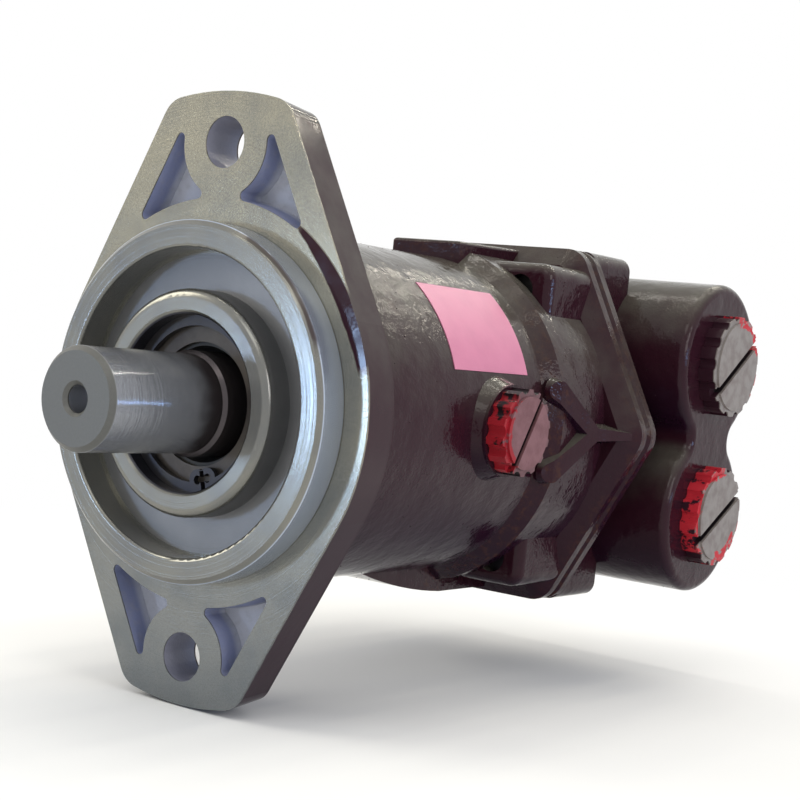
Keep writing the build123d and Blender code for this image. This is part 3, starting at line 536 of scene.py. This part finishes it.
METALS = (
    ("ground_steel", (0.56, 0.56, 0.57), (0.46, 0.45, 0.44), 0.26, 1.0, (
        "retainer_guide", "push_pins", "pistons", "cam_plate_pin", "valve_plate_pin", "locating_dowels")),
    ("block_steel", (0.42, 0.42, 0.43), (0.34, 0.33, 0.32), 0.38, 1.0, (
        "cylinder_block", "cam_plate", "slipper_retainer")),
    ("race_steel", (0.66, 0.66, 0.67), (0.58, 0.58, 0.58), 0.16, 1.0, (
        "front_bearing_outer_race", "front_bearing_inner_race", "front_bearing_balls", "rear_bearing_cup",
        "rear_bearing_needles")),
    ("dark_steel", (0.032, 0.032, 0.04), (0.06, 0.055, 0.05), 0.4, 0.7, (
        "seal_retaining_ring", "bearing_retaining_ring", "block_spring", "spring_front_washer",
        "spring_rear_washer", "spring_snap_ring", "front_bearing_cage", "rear_bearing_cage", "cover_screws",
        "seal_garter_spring")),
    ("seal_case_steel", (0.085, 0.074, 0.064), (0.055, 0.047, 0.044), 0.5, 0.35, ("shaft_seal_case",)),
    ("bronze", (0.58, 0.40, 0.17), (0.47, 0.32, 0.14), 0.32, 1.0, ("slippers", "valve_plate")),
)
for name, light, dark, roughness, metallic, pieces in METALS:
    dress(metal_finish(name, light, dark, roughness, metallic), *pieces)

# %% [markdown]
# ## Rubber and gasket
# The seal's lip and the rings under the plugs are black rubber, and the gasket between housing and cover is
# brown fibre. Both are matt and slightly uneven, which a noise in the colour and a shallow bump give.

# %% Rubber and gasket
SHADE_SPREAD = 1.8


def soft_finish(name, colour, roughness):
    """A matt, slightly uneven dark material."""
    finish = Finish(name)
    lighter = tuple(part * SHADE_SPREAD for part in colour)
    return finish.surface(
        Base_Color=finish.mix(finish.noise(4, detail=3), colour, lighter),
        Roughness=roughness,
        Normal=finish.bump(finish.noise(0.8), 0.02),
    )


dress(soft_finish("seal_rubber", (0.012, 0.012, 0.012), 0.55), "shaft_seal_lip", "port_plug_seals",
      "drain_plug_seal")
dress(soft_finish("gasket_fibre", (0.045, 0.03, 0.018), 0.8), "joint_gasket")

# %% [markdown]
# ## Red plugs under black overspray
# The plugs were in place when the motor was sprayed. Paint covered their faces, but missed some of the
# scallops and flaked off parts of the rim, so red shows in patches. A painted image could place them, but
# patches given by numbers follow the plug and have sharp edges: a direction from the plug's centre, half
# the width as an angle, and the radius where the patch begins. The drain plug's red is darker, and its film
# is darker and redder.

# %% How a plug is made
PLUG_REDS = ((0.56, 0.030, 0.045), (0.36, 0.014, 0.024))
PLUG_FILMS = ((0.235, 0.212, 0.198), (0.178, 0.150, 0.140))
SCALLOP_SHADE = (0.026, 0.008, 0.014)
# painted shade in the slot
SLOT_PAINTED_SHADE = (0.012, 0.008, 0.010)
NO_TINT = (1.0, 1.0, 1.0)


def red_patch(finish, across_y, across_z, direction, half_width, start):
    """One patch of the rim that the paint missed."""
    across = (across_y ** 2 + across_z ** 2) ** 0.5
    wobble = finish.noise(3.5, detail=4, roughness=0.6) - 0.5
    turned_by = math.radians(direction)
    toward = (across_y * math.cos(turned_by) + across_z * math.sin(turned_by)) / across + wobble * 0.12
    ragged = (across + wobble * 2.5).over(start, 0.15)
    return toward.over(math.cos(math.radians(half_width)), 0.02) * ragged


def plug_finish(name, face, centre_y, centre_z, patches, red_level=1.0, film_tint=NO_TINT):
    """Red plastic under paint, bare in patches of (direction, half width, inner radius)."""
    finish = Finish(name)
    out = finish.x - face
    across_y = finish.y - centre_y
    across_z = finish.z - centre_z
    across = (across_y ** 2 + across_z ** 2) ** 0.5
    bare_red = red_patch(finish, across_y, across_z, *patches[0])
    for patch in patches[1:]:
        bare_red = bare_red.larger(red_patch(finish, across_y, across_z, *patch))
    flakes = finish.noise(4, detail=3, roughness=0.6).rise(0.40, 0.48)
    slot_floor = out.rise(-0.6, -1.2) * across.rise(14.5, 14)
    reds = [tuple(part * red_level for part in red) for red in PLUG_REDS]
    films = [tuple(part * tint for part, tint in zip(shade, film_tint)) for shade in PLUG_FILMS]
    red = finish.mix(finish.noise(5, detail=3), *reds)
    film = finish.mix(finish.noise(4, detail=4).rise(0.35, 0.7), *films)
    film = finish.mix(out.rise(-1.0, -1.4), film, SCALLOP_SHADE)
    # The slot's floor is darkened: painted shade
    film = finish.mix(slot_floor, film, SLOT_PAINTED_SHADE)
    return finish.surface(
        Base_Color=finish.mix(bare_red * flakes, film, red),
        Roughness=0.3 + 0.2 * out.rise(-0.9, -0.1),
        Specular_IOR_Level=PAINT_SHEEN,
        Normal=finish.bump(finish.noise(1.1, detail=3), 0.06),
    )


print("red of the plugs:", PLUG_REDS[0])

# %% The three plugs
PORT_PLUG_FACE = 76
PORT_Y = 188
PORT_Z = 26.5
DRAIN_PLUG_FACE = 62.8
DRAIN_Y = 75
UPPER_PATCHES = ((58, 40, 13.6), (-20, 14, 16.2))
LOWER_PATCHES = ((172, 60, 15.6), (104, 18, 14.4), (-62, 34, 12.2), (-8, 14, 15.6))
DRAIN_PATCHES = ((186, 46, 9.8), (232, 16, 10.8), (132, 9, 11.2))

dress(plug_finish("upper_plug_finish", PORT_PLUG_FACE, PORT_Y, PORT_Z, UPPER_PATCHES), "upper_port_plug")
dress(plug_finish("lower_plug_finish", PORT_PLUG_FACE, PORT_Y, -PORT_Z, LOWER_PATCHES), "lower_port_plug")
# The drain plug's red is darker, and its film darker and redder
dress(plug_finish("drain_plug_finish", DRAIN_PLUG_FACE, DRAIN_Y, 0, DRAIN_PATCHES, red_level=0.62,
                  film_tint=(0.82, 0.43, 0.51)), "drain_plug")

# %% [markdown]
# ## The sticker
# A plain pink film, with nothing printed on it. It is thin enough to show the casting's lumps under it, and
# handling has scuffed it, so its gloss varies and pale scratches cross it.

# %% The sticker
film = Finish("sticker_film")
scuffs = film.noise(1.4, detail=4, roughness=0.7).rise(0.6, 0.8)
pink = film.mix(film.noise(9, detail=3).rise(0.3, 0.8), (0.57, 0.183, 0.293), (0.52, 0.163, 0.266))
film.surface(
    Base_Color=film.mix(scuffs * 0.25, pink, (0.50, 0.26, 0.31)),
    Roughness=0.32 + 0.1 * film.noise(3),
    Normal=film.bump(film.noise(5), 0.08),
)
dress(film.material, "sticker")

# %% [markdown]
# ## Pieces too fine for construction
# Two things are real shapes, but too small and too many to construct one by one, so Geometry Nodes grow
# them from a few named sizes. The class below writes such a tree with the same arithmetic as the finishes.
# It runs the tree once and keeps the result as a plain mesh, because only plain meshes are exported.

# %% Trees that make shapes
SOCKET_KINDS = {int: "NodeSocketInt", float: "NodeSocketFloat"}


class Recipe(Tree):
    """A Geometry Nodes tree that is being written. Its sizes are named inputs."""

    def __init__(self, name, **sizes):
        super().__init__(bpy.data.node_groups.new(name, "GeometryNodeTree"))
        sockets = self.tree.interface
        sockets.new_socket("Geometry", in_out="INPUT", socket_type="NodeSocketGeometry")
        sockets.new_socket("Geometry", in_out="OUTPUT", socket_type="NodeSocketGeometry")
        self.sizes = {}
        for title, value in sizes.items():
            socket = sockets.new_socket(title, in_out="INPUT", socket_type=SOCKET_KINDS[type(value)])
            self.sizes[socket.identifier] = value
        self.start = self.node("NodeGroupInput")

    def size(self, title):
        """One of the named sizes."""
        return Value(self, self.start.outputs[title])

    def end(self, geometry, material):
        """Ends the tree, with real geometry in place of instances and the material set."""
        real = self.node("GeometryNodeRealizeInstances", Geometry=geometry)
        dressed = self.node("GeometryNodeSetMaterial", Geometry=real.outputs[0], Material=material)
        self.node("NodeGroupOutput", {}, dressed.outputs[0])

    def make(self, name, source, body):
        """Runs the tree on a mesh and leaves a plain piece that rides on a body."""
        piece = bpy.data.objects.new(name, source)
        bpy.context.scene.collection.objects.link(piece)
        modifier = piece.modifiers.new(name, "NODES")
        modifier.node_group = self.tree
        for identifier, value in self.sizes.items():
            modifier[identifier] = value
        bpy.context.view_layer.update()
        graph = bpy.context.evaluated_depsgraph_get()
        result = bpy.data.meshes.new_from_object(piece.evaluated_get(graph))
        piece.modifiers.remove(modifier)
        piece.data = result
        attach(piece, body)
        print(name, len(result.polygons), "faces")
        return piece


print("a recipe's sizes can be", " or ".join(SOCKET_KINDS.values()))

# %% [markdown]
# ### Nibs in the paint
# A finger's sweep over the painted casting would feel hundreds of nibs: dust grains that the paint ran
# over. They could be bumps in the material, but real grains catch the light from every side. The nodes
# scatter them over the housing and the cover, keep to what is painted, and give each its own size.

# %% Scatter the nibs
FLANGE_PASSED = 0.015
BARREL_PASSED = 0.0505

castings = bpy.data.meshes.new("castings")
corners, facets = [], []
for node_name in ("housing", "end_cover"):
    mesh = nodes[node_name].data
    first = len(corners)
    corners += [vertex.co[:] for vertex in mesh.vertices]
    facets += [[first + index for index in polygon.vertices] for polygon in mesh.polygons]
castings.from_pydata(corners, [], facets)

nibs = Recipe("paint_nibs", Count_per_square_metre=9000.0, Smallest=0.00008, Largest=0.0002, Seed=4)
x, y, z = nibs.split(nibs.node("GeometryNodeInputPosition").outputs[0])
behind_flange = y.maths("GREATER_THAN", FLANGE_PASSED)
outside = ((x ** 2 + z ** 2) ** 0.5).maths("GREATER_THAN", BARREL_PASSED)
scatter = nibs.node("GeometryNodeDistributePointsOnFaces", Mesh=nibs.start.outputs[0],
                    Selection=behind_flange * outside, Density=nibs.size("Count_per_square_metre"),
                    Seed=nibs.size("Seed"))
grain = nibs.node("GeometryNodeMeshIcoSphere", Radius=1.0, Subdivisions=1)
spread = nibs.node("FunctionNodeRandomValue", dict(data_type="FLOAT"), Min=nibs.size("Smallest"),
                   Max=nibs.size("Largest"), Seed=nibs.size("Seed"))
placed = nibs.node("GeometryNodeInstanceOnPoints", Points=scatter.outputs["Points"],
                   Instance=grain.outputs["Mesh"], Rotation=scatter.outputs["Rotation"],
                   Scale=spread.outputs[1])
nibs.end(placed.outputs[0], paint.material)
nibs.make("paint_nibs", castings, "casing")

# %% [markdown]
# ### The garter spring
# A garter spring is a closed coil bent into a ring, and it presses the seal's lip onto the shaft. The
# construction holds a plain ring in its place. Here one closed line is bent into the coil by a rule: its
# distance from the axis and its height swing once for every turn. A round wire follows that line.

# %% Wind the garter spring
SPRING_RING = 17.96
SPRING_PLACE = 4.7
STEPS_A_TURN = 14.0
WIRE_SIDES = 6

coil = Recipe("garter_spring", Turns=96, Ring_radius=SPRING_RING * MM, Coil_radius=0.00048,
              Wire_radius=0.0001, Place=SPRING_PLACE * MM)
steps = coil.size("Turns") * STEPS_A_TURN
line = coil.node("GeometryNodeCurvePrimitiveCircle", dict(mode="RADIUS"), Resolution=steps, Radius=1.0)
around = Value(coil, coil.node("GeometryNodeInputIndex").outputs[0]) / steps * math.tau
wound = around * coil.size("Turns")
reach = coil.size("Ring_radius") + wound.maths("COSINE") * coil.size("Coil_radius")
level = coil.size("Place") + wound.maths("SINE") * coil.size("Coil_radius")
spot = coil.join(reach * around.maths("COSINE"), level, reach * around.maths("SINE"))
bent = coil.node("GeometryNodeSetPosition", Geometry=line.outputs[0], Position=spot)
wire = coil.node("GeometryNodeCurvePrimitiveCircle", dict(mode="RADIUS"), Resolution=WIRE_SIDES,
                 Radius=coil.size("Wire_radius"))
tube = coil.node("GeometryNodeCurveToMesh", Curve=bent.outputs[0], Profile_Curve=wire.outputs[0])
coil.end(tube.outputs[0], nodes["seal_garter_spring"].data.materials[0])
spring = coil.make("garter_spring_coil", bpy.data.meshes.new("empty"), "casing")
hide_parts("seal_garter_spring")

# %% [markdown]
# ## Floor, room and light
# The photograph was cut out on white. A white floor lit by strong lamps would wash the motor out, so the
# floor is pale where the shadow lies and turns to plain white farther away, only for the rays that show it.
# The room is white in the same way.

# %% The floor
FLOOR_SIZE = 6
FLOOR_GAP = 0.0005
FLOOR_TONE = (0.86, 0.86, 0.86)
WHITE = (1, 1, 1)
MIDDLE_Y = 80
PALE_REACH = 130
WHITE_REACH = 420

floor_height = cad_box[0][2] - FLOOR_GAP
bpy.ops.mesh.primitive_plane_add(size=FLOOR_SIZE, location=(0, 0, 0))
floor = bpy.context.object
floor.name = "floor"
for vertex in floor.data.vertices:
    vertex.co.z = floor_height
pale_floor = Finish("pale_floor")
distance = (pale_floor.x ** 2 + (pale_floor.y - MIDDLE_Y) ** 2) ** 0.5
fade = distance.rise(PALE_REACH, WHITE_REACH) * pale_floor.shows_backdrop()
white = pale_floor.node("ShaderNodeEmission", {}, WHITE, 1.0)
pale = pale_floor.node("ShaderNodeBsdfDiffuse", {}, FLOOR_TONE)
mixed = pale_floor.node("ShaderNodeMixShader", {}, fade, pale.outputs[0], white.outputs[0])
pale_floor.node("ShaderNodeOutputMaterial", {}, mixed.outputs[0])
floor.data.materials.append(pale_floor.material)
print("floor at", round(floor_height / MM, 1), "mm")

# %% The room
SOFT_SKY = (0.94, 0.97, 1.0)
SOFT_STRENGTH = 0.7

world = bpy.data.worlds.new("studio")
bpy.context.scene.world = world
world.use_nodes = True
room = Tree(world.node_tree)
room.tree.nodes.clear()
soft = room.node("ShaderNodeBackground", {}, SOFT_SKY, SOFT_STRENGTH)
plain = room.node("ShaderNodeBackground", {}, WHITE, 1.0)
choose = room.node("ShaderNodeMixShader", {}, room.shows_backdrop(), soft.outputs[0], plain.outputs[0])
room.node("ShaderNodeOutputWorld", {}, choose.outputs[0])
print("soft light of the room:", SOFT_STRENGTH)

# %% [markdown]
# ### The lamps
# The highlights in the photograph tell of a hall with rows of tubes overhead, a cool window and daylight
# from the side. Tubes along the shaft draw the parallel lines on it, a tube across it the bands on the port
# bosses, and the blue slit beside the flange the cold line along the shaft. Wide lamps fill the rest.

# %% The lamps
TUBE_LIGHT = (1.0, 0.93, 0.78)
MIDDLE = (0, 0.08, 0)
FAR_TUBES = (-0.58, -0.11, 0.35, 0.86)
NEAR_TUBES = (-0.45, -0.05, 0.3, 0.7)

# Each lamp has a name, a place, the point it faces, its two sizes, its power in watts and its colour
lamps = [(f"tube_{number}", (across, 1.75, 1.6), (across, 1.75, 0), (0.02, 1.5), 5.2, TUBE_LIGHT)
         for number, across in enumerate(FAR_TUBES)]
lamps += [
    ("window", (-0.66, -0.95, -0.05), (0.05, 0, 0), (0.08, 0.16), 1.7, (0.45, 0.65, 1.0)),
    ("hall", (-0.86, -0.46, 0.52), MIDDLE, (0.5, 0.5), 4.5, (1.0, 0.95, 0.82)),
    ("key", (0.25, -0.75, 0.95), MIDDLE, (0.5, 0.4), 1.5, (1.0, 0.97, 0.9)),
    ("side", (1.25, -0.25, 0.5), MIDDLE, (0.5, 0.5), 3.6, (1.0, 0.96, 0.94)),
    ("slit", (1.25, 0.32, 0.10), (0, -0.02, 0), (0.6, 0.03), 2.2, (0.36, 0.58, 1.0)),
    ("cross_tube", (-0.45, 0.45, 1.3), (-0.45, 0.45, 0), (1.5, 0.015), 2.6, (1.0, 0.95, 0.86)),
]
lamps += [(f"near_tube_{number}", (across, 0.2, 1.3), (across, 0.2, 0), (0.02, 1.2), 1.0, TUBE_LIGHT)
          for number, across in enumerate(NEAR_TUBES)]
for name, place, aim, size, power, colour in lamps:
    light = bpy.data.lights.new(name, "AREA")
    light.shape = "RECTANGLE"
    light.size, light.size_y = size
    light.energy = power
    light.color = colour
    lamp = bpy.data.objects.new(name, light)
    facing = (Vector(aim) - Vector(place)).to_track_quat("-Z", "Y").to_matrix().to_4x4()
    lamp.matrix_world = Matrix.Translation(place) @ facing
    bpy.context.scene.collection.objects.link(lamp)
print("lamps:", len(lamps))
